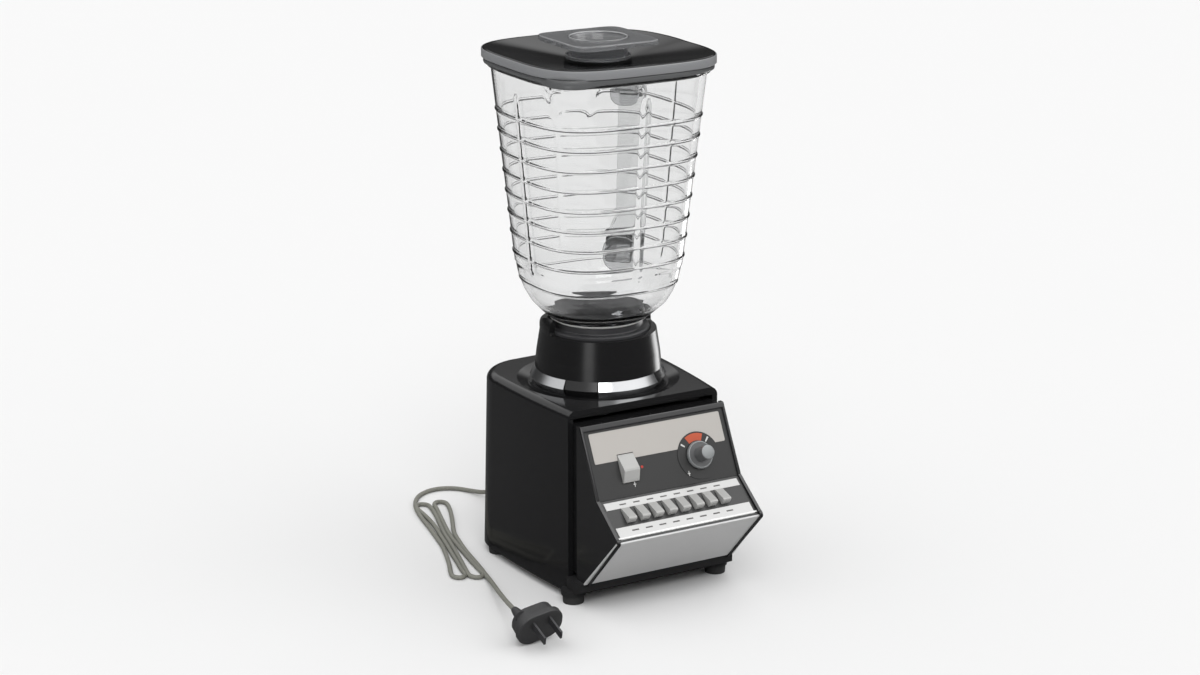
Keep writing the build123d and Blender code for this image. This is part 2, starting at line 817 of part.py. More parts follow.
with BuildPart() as commutator:
    with BuildSketch(Plane.XY.offset(44.6)):
        Circle(11)
        Circle(4, mode=Mode.SUBTRACT)
        with PolarLocations(11, 16):
            Rectangle(1.4, 0.6, mode=Mode.SUBTRACT)
    extrude(amount=13)
keep(commutator.part, "commutator")

with BuildPart() as motor_shaft:
    with BuildSketch(Plane.XY.offset(13)):
        Circle(4)
    extrude(amount=137)
keep(motor_shaft.part, "motor_shaft")

with BuildPart() as fan:
    with BuildSketch(Plane.XY.offset(15)):
        Circle(33)
        Circle(4, mode=Mode.SUBTRACT)
    extrude(amount=1.4)
    with BuildSketch(Plane.XY.offset(16.4)):
        Circle(7)
        Circle(4, mode=Mode.SUBTRACT)
        with PolarLocations(20.5, 12):
            Rectangle(22, 1.3, rotation=24)
    extrude(amount=9)
keep(fan.part, "cooling_fan")

with BuildPart() as holders:
    with BuildSketch(Plane.YZ.offset(13)):
        with Locations((0, 51)):
            Rectangle(9.4, 12)
            Rectangle(6, 8, mode=Mode.SUBTRACT)
    extrude(amount=17)
    with BuildSketch(Plane.YZ.offset(-13)):
        with Locations((0, 51)):
            Rectangle(9.4, 12)
            Rectangle(6, 8, mode=Mode.SUBTRACT)
    extrude(amount=-17)
    with BuildSketch(Plane.XY.offset(41)):
        with Locations((-24, 0), (24, 0)):
            Rectangle(8, 9.4)
    extrude(amount=4)
keep(holders.part, "brush_holders")

with BuildPart() as brushes:
    with BuildSketch(Plane.YZ.offset(11.35)):
        with Locations((0, 51)):
            Rectangle(6, 8)
    extrude(amount=16)
    with BuildSketch(Plane.YZ.offset(-11.35)):
        with Locations((0, 51)):
            Rectangle(6, 8)
    extrude(amount=-16)
keep(brushes.part, "carbon_brushes")

with BuildPart() as stud:
    with BuildSketch(Plane.XY.offset(143)):
        Circle(9)
        Circle(4, mode=Mode.SUBTRACT)
    extrude(amount=2.5)
    with BuildSketch(Plane.XY.offset(145.5)):
        RegularPolygon(radius=5, side_count=6, major_radius=False)
        Circle(4, mode=Mode.SUBTRACT)
    extrude(amount=12)
keep(stud.part, "drive_stud")

# ==== cord ====
gland_x = -12.0
gland_z = 24.0
with BuildPart() as relief:
    with BuildSketch(Plane.XZ.offset(-76)):
        with Locations((gland_x, gland_z)):
            Circle(5)
    extrude(amount=-3)
    with BuildSketch(Plane.XZ.offset(-82)):
        with Locations((gland_x, gland_z)):
            Circle(6.4)
    extrude(amount=-2.5)
    with BuildSketch(Plane.XZ.offset(-79)):
        with Locations((gland_x, gland_z)):
            Circle(5)
    extrude(amount=-3)
    with BuildSketch(Plane.XZ.offset(-84.5)):
        with Locations((gland_x, gland_z)):
            Circle(4.2)
    with BuildSketch(Plane.XZ.offset(-106)):
        with Locations((gland_x, gland_z)):
            Circle(2.6)
    loft()
keep(relief.part, "strain_relief")

# the lead's whole route: out of the gland, down to the surface, five strands side by side, up to the plug
low = cord_low
route = [
    (-12, 106, 24), (-12, 122, 21.5), (-12.5, 139, 12), (-13.5, 155, 4.5), (-17, 171, low),
    (-25, 183, low), (-37, 189, low), (-50, 187, low), (-62, 178, low), (-72, 160, low),
    (-78, 138, low), (-82.4, 115, low), (-87.2, 94, low), (-91.3, 75, low), (-98, 55, low),
    (-104.6, 37, low), (-110.4, 24, low), (-114, 13.8, low), (-109.6, 8.4, low), (-103.6, 11.6, low),
    (-102, 22.5, low), (-97.8, 37, low), (-93.2, 55, low), (-87.7, 75, low), (-82.8, 95, low),
    (-77.4, 115, low), (-73.9, 136, low), (-72.8, 152, low), (-71.4, 160.6, low), (-66, 164, low),
    (-60.9, 159.6, low), (-62.4, 149, low), (-67.2, 132, low), (-73.2, 114, low), (-79.1, 95, low),
    (-84, 75, low), (-89.5, 55, low), (-94.6, 37, low), (-99.8, 19.5, low), (-102.8, 8, low),
    (-98, 2.2, low), (-91.9, 5.6, low), (-90.6, 16, low), (-88.6, 29, low), (-86, 44, low),
    (-82, 66, low), (-77.8, 87, low), (-71.8, 108, low), (-64.8, 130, low), (-59.4, 147, low),
    (-56.6, 158.4, low), (-51.2, 162.2, low), (-46.4, 157.2, low), (-49, 146.6, low), (-55, 131, low),
    (-63, 113, low), (-71.9, 94, low), (-76.9, 75, low), (-81.7, 55, low), (-84.9, 37, low),
    (-88.4, 18, low), (-92.6, 1.5, 2.6), (-97.6, -15, 5), (-104, -34, 8.2), (-111, -54, 11.8),
    (-117.2, -72.5, 15.3), (-123.4, -91, 19), (-129.3, -110.1, 22.9),
]


def cornerRadii(points):
    radii = []
    for a, b, c in zip(points, points[1:], points[2:]):
        into = Vector(*b) - Vector(*a)
        away = Vector(*c) - Vector(*b)
        half = math.radians(into.get_angle(away)) / 2
        radii.append(round(0.45 * min(into.length, away.length) / math.tan(half), 2))
    return radii


radii = cornerRadii(route)
print("cord bend radii", radii, "tightest", min(radii))
with BuildPart() as cord:
    with BuildLine() as way:
        FilletPolyline(*route, radius=radii)
    with BuildSketch(Plane(origin=way.line @ 0, z_dir=way.line % 0)):
        Circle(cord_dia / 2)
    sweep(transition=Transition.RIGHT)
route_length = sum(run.length for run in way.edges())
print("cord length", round(route_length, 1), "volume ratio",
      round(cord.part.volume / (route_length * math.pi * cord_dia ** 2 / 4), 4))
keep(cord.part, "cord")

# ==== plug, resting on the lower edge of its face ====
plug_face = Plane(
    origin=(-118.0, -126.6, 13.4), x_dir=(0.9883, -0.0054, 0.1526), z_dir=(0.0559, -0.9172, -0.3945),
)
blade_up = 5.2
blade_root = 3.0
with BuildPart() as plug:
    with BuildSketch(plug_face.offset(-4.2)):
        RectangleRounded(34.5, 26.4, 11.6)
    extrude(amount=4.2)
    fillet(plug.edges().group_by(lambda e: plug_face.to_local_coords(e.center()).Z)[-1], radius=0.9)
    with BuildSketch(plug_face.offset(-4.2)):
        with Locations((-1, 0.4)):
            RectangleRounded(31.6, 23.6, 10.4)
    extrude(amount=-7.6, taper=6)
    sleeve_from = plug_face.from_local_coords(Vector(-11.4, 8.2, -8))
    sleeve_to = Vector(-129.3, -110.1, 22.9)
    sleeve_way = (sleeve_to - sleeve_from).normalized()
    with BuildSketch(Plane(origin=sleeve_from, z_dir=sleeve_way)):
        Circle(4.3)
    with BuildSketch(Plane(origin=sleeve_to, z_dir=sleeve_way)):
        Circle(2.5)
    loft()
    with BuildSketch(plug_face.offset(-blade_root)):
        with Locations((-6.35, blade_up), (6.35, blade_up)):
            Rectangle(1.5, 6.35)
    extrude(amount=blade_root + 1, mode=Mode.SUBTRACT)
keep(plug.part, "cord_plug")

with BuildPart() as plug_blades:
    with BuildSketch(plug_face.offset(-blade_root)):
        with Locations((-6.35, blade_up), (6.35, blade_up)):
            Rectangle(1.5, 6.35)
    extrude(amount=blade_root + 16.2)
keep(plug_blades.part, "plug_blades")
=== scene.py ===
# Looks for a countertop blender: glass jar, black motor base with a silver key console, grey lead.
import bpy
import math
import numpy as np
from mathutils import Matrix, Vector


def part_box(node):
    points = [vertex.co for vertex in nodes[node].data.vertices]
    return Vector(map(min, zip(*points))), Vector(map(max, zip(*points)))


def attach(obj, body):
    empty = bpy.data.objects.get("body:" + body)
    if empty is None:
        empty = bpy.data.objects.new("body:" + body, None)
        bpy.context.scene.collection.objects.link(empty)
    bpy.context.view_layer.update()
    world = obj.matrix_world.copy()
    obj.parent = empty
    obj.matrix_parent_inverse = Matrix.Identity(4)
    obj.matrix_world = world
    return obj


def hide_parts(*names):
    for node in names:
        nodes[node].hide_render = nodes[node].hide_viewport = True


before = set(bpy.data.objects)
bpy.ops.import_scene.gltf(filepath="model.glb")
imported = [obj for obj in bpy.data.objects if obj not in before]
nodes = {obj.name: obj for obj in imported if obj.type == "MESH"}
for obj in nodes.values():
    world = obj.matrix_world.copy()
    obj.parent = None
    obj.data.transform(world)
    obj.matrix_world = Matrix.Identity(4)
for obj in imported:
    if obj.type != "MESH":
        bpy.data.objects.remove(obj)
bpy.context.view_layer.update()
mm = 0.001

shaftLow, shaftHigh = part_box("motor_shaft")
spindle = np.array([(shaftLow[0] + shaftHigh[0]) / 2, (shaftLow[1] + shaftHigh[1]) / 2, 0.0])  # the drive axis
print("frame loaded, spindle at", spindle)

# camera, level with a person standing at the worktop
camera = {"azimuth": -30.03, "elevation": 16.43, "lens": 81.1, "from": (-936.3, -1622.4, 721.4)}  # in mm


def addToScene(thing):
    bpy.context.scene.collection.objects.link(thing)
    return thing


def placeCamera():
    turn, lift = math.radians(camera["azimuth"]), math.radians(camera["elevation"])
    right = Vector((math.cos(turn), math.sin(turn), 0))
    back = Vector((math.sin(turn) * math.cos(lift), -math.cos(turn) * math.cos(lift), math.sin(lift)))
    up = back.cross(right)
    data = bpy.data.cameras.new("camera")
    data.lens = camera["lens"]
    data.sensor_width = 36
    data.clip_end = 50
    thing = addToScene(bpy.data.objects.new("camera", data))
    place = Matrix((right, up, back)).transposed().to_4x4()
    place.translation = Vector(camera["from"]) * mm + Vector(spindle)
    thing.matrix_world = place
    bpy.context.scene.camera = thing


placeCamera()

# shader groups shared by the finishes


def newGroup(name, inputs, outputs):
    group = bpy.data.node_groups.new(name, "ShaderNodeTree")
    for label, kind, value in inputs:
        socket = group.interface.new_socket(label, in_out="INPUT", socket_type=kind)
        if value is not None:
            socket.default_value = value
    for label, kind in outputs:
        group.interface.new_socket(label, in_out="OUTPUT", socket_type=kind)
    return group, group.nodes.new("NodeGroupInput"), group.nodes.new("NodeGroupOutput")


def noiseNode(tree, source, scaleSocket, detail):
    noise = tree.nodes.new("ShaderNodeTexNoise")
    noise.inputs["Detail"].default_value = detail
    tree.links.new(source, noise.inputs["Vector"])
    tree.links.new(scaleSocket, noise.inputs["Scale"])
    return noise


def mathNode(tree, operation, a, b, c=None):
    node = tree.nodes.new("ShaderNodeMath")
    node.operation = operation
    for k, value in enumerate((a, b, c)):
        if value is None:
            continue
        if isinstance(value, (int, float)):
            node.inputs[k].default_value = value
        else:
            tree.links.new(value, node.inputs[k])
    return node.outputs[0]


def makeGrainGroup():
    # roughness = middle value + spread x slow noise; height = fine noise
    group, i, o = newGroup(
        "surfaceGrain",
        [("Vector", "NodeSocketVector", None), ("Grain Scale", "NodeSocketFloat", 900.0),
         ("Roughness", "NodeSocketFloat", 0.4), ("Spread", "NodeSocketFloat", 0.1),
         ("Smear Scale", "NodeSocketFloat", 14.0)],
        [("Roughness", "NodeSocketFloat"), ("Height", "NodeSocketFloat")],
    )
    fine = noiseNode(group, i.outputs["Vector"], i.outputs["Grain Scale"], 3)
    slow = noiseNode(group, i.outputs["Vector"], i.outputs["Smear Scale"], 4)
    centred = mathNode(group, "SUBTRACT", slow.outputs["Fac"], 0.5)
    rough = mathNode(group, "MULTIPLY_ADD", centred, i.outputs["Spread"], i.outputs["Roughness"])
    group.links.new(rough, o.inputs["Roughness"])
    group.links.new(fine.outputs["Fac"], o.inputs["Height"])
    return group


def makeToneGroup():
    # colour mixed towards a second tone by a noise
    group, i, o = newGroup(
        "toneVariation",
        [("Vector", "NodeSocketVector", None), ("Color", "NodeSocketColor", (0.5, 0.5, 0.5, 1)),
         ("Second Color", "NodeSocketColor", (0.4, 0.4, 0.4, 1)), ("Amount", "NodeSocketFloat", 0.3),
         ("Scale", "NodeSocketFloat", 30.0)],
        [("Color", "NodeSocketColor")],
    )
    cloud = noiseNode(group, i.outputs["Vector"], i.outputs["Scale"], 5)
    mask = mathNode(group, "MULTIPLY", cloud.outputs["Fac"], i.outputs["Amount"])
    mix = group.nodes.new("ShaderNodeMix")
    mix.data_type = "RGBA"
    group.links.new(mask, mix.inputs["Factor"])
    group.links.new(i.outputs["Color"], mix.inputs["A"])
    group.links.new(i.outputs["Second Color"], mix.inputs["B"])
    group.links.new(mix.outputs["Result"], o.inputs["Color"])
    return group


grainGroup = makeGrainGroup()
toneGroup = makeToneGroup()


def linear(r, g, b):
    # display values 0..255 to linear light
    out = []
    for v in (r, g, b):
        v = v / 255
        out.append(v / 12.92 if v <= 0.04045 else ((v + 0.055) / 1.055) ** 2.4)
    return (*out, 1)


def finish(name, color, second=None, tone=0.3, toneScale=30, rough=0.4, spread=0.1, grain=900, bump=0.0,
           metallic=0.0, specular=0.5, transmission=0.0, ior=1.5, stretch=(1, 1, 1)):
    # one material: tone and grain groups on Object coordinates, everything uniform on the shader's own sockets
    material = bpy.data.materials.new(name)
    material.use_nodes = True
    tree = material.node_tree
    shader = tree.nodes["Principled BSDF"]
    place = tree.nodes.new("ShaderNodeTexCoord")
    mapping = tree.nodes.new("ShaderNodeMapping")
    mapping.inputs["Scale"].default_value = stretch
    tree.links.new(place.outputs["Object"], mapping.inputs["Vector"])
    tones = tree.nodes.new("ShaderNodeGroup")
    tones.node_tree = toneGroup
    grains = tree.nodes.new("ShaderNodeGroup")
    grains.node_tree = grainGroup
    for group in (tones, grains):
        tree.links.new(mapping.outputs["Vector"], group.inputs["Vector"])
    tones.inputs["Color"].default_value = color
    tones.inputs["Second Color"].default_value = second or tuple(0.75 * c for c in color[:3]) + (1,)
    tones.inputs["Amount"].default_value = tone
    tones.inputs["Scale"].default_value = toneScale
    grains.inputs["Grain Scale"].default_value = grain
    grains.inputs["Roughness"].default_value = rough
    grains.inputs["Spread"].default_value = spread
    tree.links.new(tones.outputs["Color"], shader.inputs["Base Color"])
    tree.links.new(grains.outputs["Roughness"], shader.inputs["Roughness"])
    if bump:
        relief = tree.nodes.new("ShaderNodeBump")
        relief.inputs["Distance"].default_value = bump
        relief.inputs["Strength"].default_value = 1.0
        tree.links.new(grains.outputs["Height"], relief.inputs["Height"])
        tree.links.new(relief.outputs["Normal"], shader.inputs["Normal"])
    shader.inputs["Metallic"].default_value = metallic
    shader.inputs["Specular IOR Level"].default_value = specular
    shader.inputs["Transmission Weight"].default_value = transmission
    shader.inputs["IOR"].default_value = ior
    return material


glossBlack = finish("glossBlack", linear(27, 27, 28), tone=0.3, rough=0.14, spread=0.05, specular=0.5)
lidBlack = finish("lidBlack", linear(22, 22, 23), tone=0.3, rough=0.12, spread=0.05, specular=0.25)
mattBlack = finish("mattBlack", linear(32, 32, 33), rough=0.5, spread=0.12, grain=1400, bump=0.00003)
collarBlack = finish("collarBlack", linear(24, 24, 25), rough=0.24, spread=0.06, specular=0.5)
panelDark = finish("panelDark", linear(45, 45, 45), rough=0.42, spread=0.06, grain=1800, bump=0.00002)
nutGrey = finish("nutGrey", linear(66, 66, 68), rough=0.4, spread=0.1, grain=1300, bump=0.00002)
knobGrey = finish("knobGrey", linear(96, 97, 98), rough=0.32, spread=0.08, grain=1500, bump=0.00002)
chrome = finish("chrome", linear(204, 205, 207), tone=0.08, rough=0.2, spread=0.06, metallic=1)
rubber = finish("rubber", linear(50, 50, 50), rough=0.75, spread=0.1, grain=1100, bump=0.00005)
whiteRubber = finish("whiteRubber", linear(226, 226, 224), tone=0.1, rough=0.5)
cream = finish("cream", linear(187, 183, 178), tone=0.12, toneScale=60, rough=0.42, spread=0.06, grain=2200,
               bump=0.00001)
silver = finish("silver", linear(206, 206, 205), tone=0.12, toneScale=90, rough=0.34, spread=0.06, grain=2400,
                bump=0.00001, metallic=0.08, specular=0.3)
chinSilver = finish("chinSilver", linear(196, 196, 196), tone=0.15, toneScale=70, rough=0.36, spread=0.06,
                    grain=2400, bump=0.00001, metallic=0.1)
keyLight = finish("keyLight", linear(181, 181, 179), tone=0.1, rough=0.38, spread=0.06, grain=1800, bump=0.00001)
steel = finish("steel", linear(180, 181, 183), tone=0.2, rough=0.24, spread=0.12, metallic=1, stretch=(1, 1, 30))
bladeSteel = finish("bladeSteel", linear(196, 197, 199), tone=0.15, rough=0.2, spread=0.1, metallic=1,
                    stretch=(30, 1, 1))
copper = finish("copper", linear(186, 96, 52), tone=0.5, toneScale=400, rough=0.35, spread=0.1, metallic=0.8,
                grain=700, bump=0.0002, stretch=(1, 1, 4))
bronze = finish("bronze", linear(190, 158, 96), rough=0.3, metallic=1)
carbon = finish("carbon", linear(30, 30, 31), rough=0.7, grain=1800, bump=0.00004)
glass = finish("glass", (0.925, 0.927, 0.927, 1), second=(0.9, 0.903, 0.903, 1), tone=0.3, rough=0.0, spread=0.0,
               transmission=1, ior=1.46)
smoked = finish("smoked", linear(190, 191, 193), tone=0.2, rough=0.03, spread=0.02, transmission=0.72, ior=1.45)
handleGlass = finish("handleGlass", (0.78, 0.785, 0.785, 1), second=(0.72, 0.73, 0.73, 1), tone=0.3, rough=0.02,
                     spread=0.02, transmission=1, ior=1.46)
linerGrey = finish("linerGrey", linear(122, 122, 123), tone=0.3, rough=0.45, spread=0.1)
padGlass = finish("padGlass", linear(226, 227, 228), tone=0.3, rough=0.12, spread=0.05, transmission=0.82, ior=1.15)
bezelBlack = finish("bezelBlack", linear(40, 40, 41), tone=0.3, rough=0.2, spread=0.06, specular=0.6)
# near white: a painted highlight along the key strip's lower edge
paintedHighlightEdge = finish("paintedHighlightEdge", linear(232, 232, 231), tone=0.1, rough=0.25, spread=0.06, metallic=0.2)
edgeGlass = finish("edgeGlass", linear(205, 206, 207), tone=0.2, rough=0.1, spread=0.04, transmission=0.3)
lipGrey = finish("lipGrey", linear(96, 97, 98), tone=0.25, toneScale=20, rough=0.25, spread=0.08)
lidEdge = finish("lidEdge", linear(138, 139, 141), tone=0.2, toneScale=20, rough=0.3, spread=0.08)
pinMetal = finish("pinMetal", linear(84, 84, 86), tone=0.2, rough=0.4, metallic=0.6)
knobFace = finish("knobFace", linear(150, 153, 154), tone=0.15, rough=0.34, spread=0.06, metallic=0.3)
orange = finish("orange", linear(196, 84, 50), tone=0.15, rough=0.45)
redPrint = finish("redPrint", linear(188, 50, 38), tone=0.1, rough=0.45)
whitePrint = finish("whitePrint", linear(214, 214, 212), tone=0.1, rough=0.5)
darkPrint = finish("darkPrint", linear(84, 82, 80), tone=0.1, rough=0.5)
plugBlack = finish("plugBlack", linear(60, 60, 61), rough=0.5, spread=0.1, grain=1200, bump=0.00004)

nodeFinish = {
    "motor_housing": glossBlack, "console_body": glossBlack, "console_cheeks": glossBlack, "base_pan": mattBlack,
    "jar_collar": collarBlack, "face_plate": panelDark, "dial_disc": panelDark, "rocker_switch": mattBlack,
    "timer_body": mattBlack, "switch_block": mattBlack, "brush_holders": mattBlack, "cooling_fan": mattBlack,
    "strain_relief": plugBlack, "cord_plug": plugBlack, "jar_nut": nutGrey, "knob": knobGrey,
    "knob_shaft": knobGrey, "collar_trim": chrome, "rubber_feet": rubber, "jar_gasket": whiteRubber,
    "lid_gasket": rubber, "title_panel": cream, "label_strips": silver, "rocker": keyLight,
    "button_panel": panelDark, "chin_plate": chinSilver, "glass_jar": glass, "jar_handle": handleGlass,
    "feeder_cap": smoked, "lid": lidBlack, "field_coils": copper, "armature_windings": copper,
    "commutator": copper, "motor_bushings": bronze, "blade_bushing": bronze, "plug_blades": pinMetal,
    "carbon_brushes": carbon, "blades": bladeSteel, "blade_cap_nut": bladeSteel,
}
for name, thing in nodes.items():
    material = keyLight if name.startswith("key_") else nodeFinish.get(name, steel)
    if not thing.data.materials:
        thing.data.materials.append(material)
    for k in range(len(thing.material_slots)):
        thing.material_slots[k].material = material
print("finishes given to", len(nodes), "nodes")


# pieces from numpy surfaces


def newPiece(name, points, faces, material, body, smooth=True):
    mesh = bpy.data.meshes.new(name)
    mesh.from_pydata(np.asarray(points).reshape(-1, 3).tolist(), [], [list(f) for f in faces])
    mesh.materials.append(material)
    mesh.polygons.foreach_set("use_smooth", np.full(len(mesh.polygons), smooth))
    mesh.update()
    piece = addToScene(bpy.data.objects.new(name, mesh))
    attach(piece, body)
    return piece


def gridFaces(rows, columns, wrapRows=False, wrapColumns=True):
    # quads between neighbouring rows and columns of a grid, joined up round the ends where asked
    r = np.arange(rows if wrapRows else rows - 1)
    c = np.arange(columns if wrapColumns else columns - 1)
    r, c = np.meshgrid(r, c, indexing="ij")
    r2, c2 = (r + 1) % rows, (c + 1) % columns
    quads = np.stack([r * columns + c, r * columns + c2, r2 * columns + c2, r2 * columns + c], axis=-1)
    return quads.reshape(-1, 4)


cordSettings = {"diameter": 3.3, "low": 1.8, "length": 1.09}  # mm, mm, m


def makeCord():
    # a round section carried along a smooth curve through the listed points, the same ones as the CAD lead's
    low = cordSettings["low"]
    route = [
        (-12, 106, 24), (-12, 122, 21.5), (-12.5, 139, 12), (-13.5, 155, 4.5), (-17, 171, low), (-25, 183, low),
        (-37, 189, low), (-50, 187, low), (-62, 178, low), (-72, 160, low), (-78, 138, low), (-82.4, 115, low),
        (-87.2, 94, low), (-91.3, 75, low), (-98, 55, low), (-104.6, 37, low), (-110.4, 24, low), (-114, 13.8, low),
        (-109.6, 8.4, low), (-103.6, 11.6, low), (-102, 22.5, low), (-97.8, 37, low), (-93.2, 55, low),
        (-87.7, 75, low),
        (-82.8, 95, low), (-77.4, 115, low), (-73.9, 136, low), (-72.8, 152, low), (-71.4, 160.6, low), (-66, 164, low),
        (-60.9, 159.6, low), (-62.4, 149, low), (-67.2, 132, low), (-73.2, 114, low), (-79.1, 95, low), (-84, 75, low),
        (-89.5, 55, low), (-94.6, 37, low), (-99.8, 19.5, low), (-102.8, 8, low), (-98, 2.2, low), (-91.9, 5.6, low),
        (-90.6, 16, low), (-88.6, 29, low), (-86, 44, low), (-82, 66, low), (-77.8, 87, low), (-71.8, 108, low),
        (-64.8, 130, low), (-59.4, 147, low), (-56.6, 158.4, low), (-51.2, 162.2, low), (-46.4, 157.2, low),
        (-49, 146.6, low), (-55, 131, low), (-63, 113, low), (-71.9, 94, low), (-76.9, 75, low), (-81.7, 55, low),
        (-84.9, 37, low), (-88.4, 18, low), (-92.6, 1.5, 2.6), (-97.6, -15, 5), (-104, -34, 8.2), (-111, -54, 11.8),
        (-117.2, -72.5, 15.3), (-123.4, -91, 19), (-129.3, -110.1, 22.9),
    ]
    plan = np.array(route)
    curve = bpy.data.curves.new("mainsLead", "CURVE")
    curve.dimensions = "3D"
    spline = curve.splines.new("NURBS")
    spline.points.add(len(route) - 1)
    places = np.ones((len(route), 4))
    places[:, :3] = plan * mm + spindle
    spline.points.foreach_set("co", places.ravel())
    spline.order_u = 3
    spline.use_endpoint_u = True
    spline.resolution_u = 10
    curve.bevel_depth = cordSettings["diameter"] / 2 * mm
    curve.bevel_resolution = 5
    curve.use_fill_caps = True
    curve.materials.append(finish("leadSheath", linear(152, 151, 142), second=linear(104, 105, 98), tone=0.9,
                                  toneScale=900, rough=0.62, spread=0.1, grain=2200, bump=0.0001))
    lead = addToScene(bpy.data.objects.new("mainsLead", curve))
    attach(lead, "base")
    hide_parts("cord")


makeCord()
print("lead laid")

# glass jar
jarSizes = {
    "lip": 168.0, "neck": 28.5, "thread": 29.8, "bore": 24.8, "wall": 3.6, "rim": 372.5, "columns": 320,
    "ringLow": 233.6, "ringPitch": 14.65, "ringCount": 8, "ringProud": 0.85, "ribProud": 0.7,
    "creaseAt": 214.2, "creaseProud": 0.55, "beadPower": 3.6,
    # (height, how far the rim's bead stands out)
    "bead": [(366.5, 0.9), (366.9, 1.8), (367.6, 2.2), (370.8, 2.2), (371.8, 1.8), (372.35, 1.0), (372.5, 0)],
}
spoutSizes = {"from": 342, "tall": 30.5, "centre": 60, "centreOut": 5.5, "radius": 12, "radiusOut": 8,
              "turn": math.radians(225), "soft": 2.6, "softRise": 8, "softEnd": 367, "softFall": 4}
bodySizes = {"from": 234, "half": 55.6, "halfRise": 0.0843, "power": 2.9, "powerRise": 0.0049}


def squircleReach(half, power, angle):
    # distance from the axis to |x|^p + |y|^p = half^p in the given direction
    return half / (np.abs(np.cos(angle)) ** power + np.abs(np.sin(angle)) ** power) ** (1 / power)


def bodyHalf(z):
    # half width grows evenly with height
    return bodySizes["half"] + bodySizes["halfRise"] * (z - bodySizes["from"])


def bodyPower(z):
    # the plan gets squarer evenly with height
    return bodySizes["power"] + bodySizes["powerRise"] * (z - bodySizes["from"])


shoulderLevels = np.array([185.0, 191.4, 198.7, 207, 217, 234])
shoulderHalf = np.array([33.0, 40.0, 46.2, 50.0, 53.0, 55.6])
shoulderPower = np.array([2.0, 2.15, 2.45, 2.65, 2.8, 2.9])


def smoothed(levels, values, z):
    # a stepwise line through the levels, rounded by averaging over a few millimetres
    fine = np.linspace(levels[0] - 4, levels[-1] + 4, 600)
    line = np.interp(fine, levels, values)
    kernel = np.hanning(39)
    soft = np.convolve(np.pad(line, 19, mode="edge"), kernel / kernel.sum(), mode="valid")
    return np.interp(z, fine, soft)


def jarHalf(z):
    # half width: the rounded shoulder below, the straight body above
    return np.where(z < 226, smoothed(shoulderLevels, shoulderHalf, z), bodyHalf(z))


def jarPower(z):
    # superellipse power: round at the shoulder's foot, nearly square above
    return np.where(z < 234, smoothed(shoulderLevels, shoulderPower, z), bodyPower(z))


def spoutReach(z, angle, wall):
    # an opening cone in the front left corner: far side of a circle whose centre and radius grow with height
    s = spoutSizes
    u = np.clip((z - s["from"]) / s["tall"], 0, 1)
    centre, radius = s["centre"] + s["centreOut"] * u, s["radius"] + s["radiusOut"] * u - wall
    off = np.angle(np.exp(1j * (angle - s["turn"])))
    inside = radius ** 2 - (centre * np.sin(off)) ** 2
    reach = centre * np.cos(off) + np.sqrt(np.clip(inside, 0, None))
    return np.where((inside > 0) & (np.cos(off) > 0) & (z > s["from"]), reach, 0)


def withSpout(wallReach, z, angle, wall):
    # the larger of wall and spout, plus a soft fillet that fades in over the spout's first 8 mm
    s = spoutSizes
    lip = spoutReach(z, angle, wall)
    rise = np.clip((z - s["from"]) / s["softRise"], 0, 1) * np.clip((s["softEnd"] - z) / s["softFall"], 0, 1)
    fillet = np.where(lip > 0, s["soft"] * np.log1p(np.exp(-np.abs(wallReach - lip) / s["soft"])) * rise, 0)
    return np.maximum(wallReach, lip) + fillet


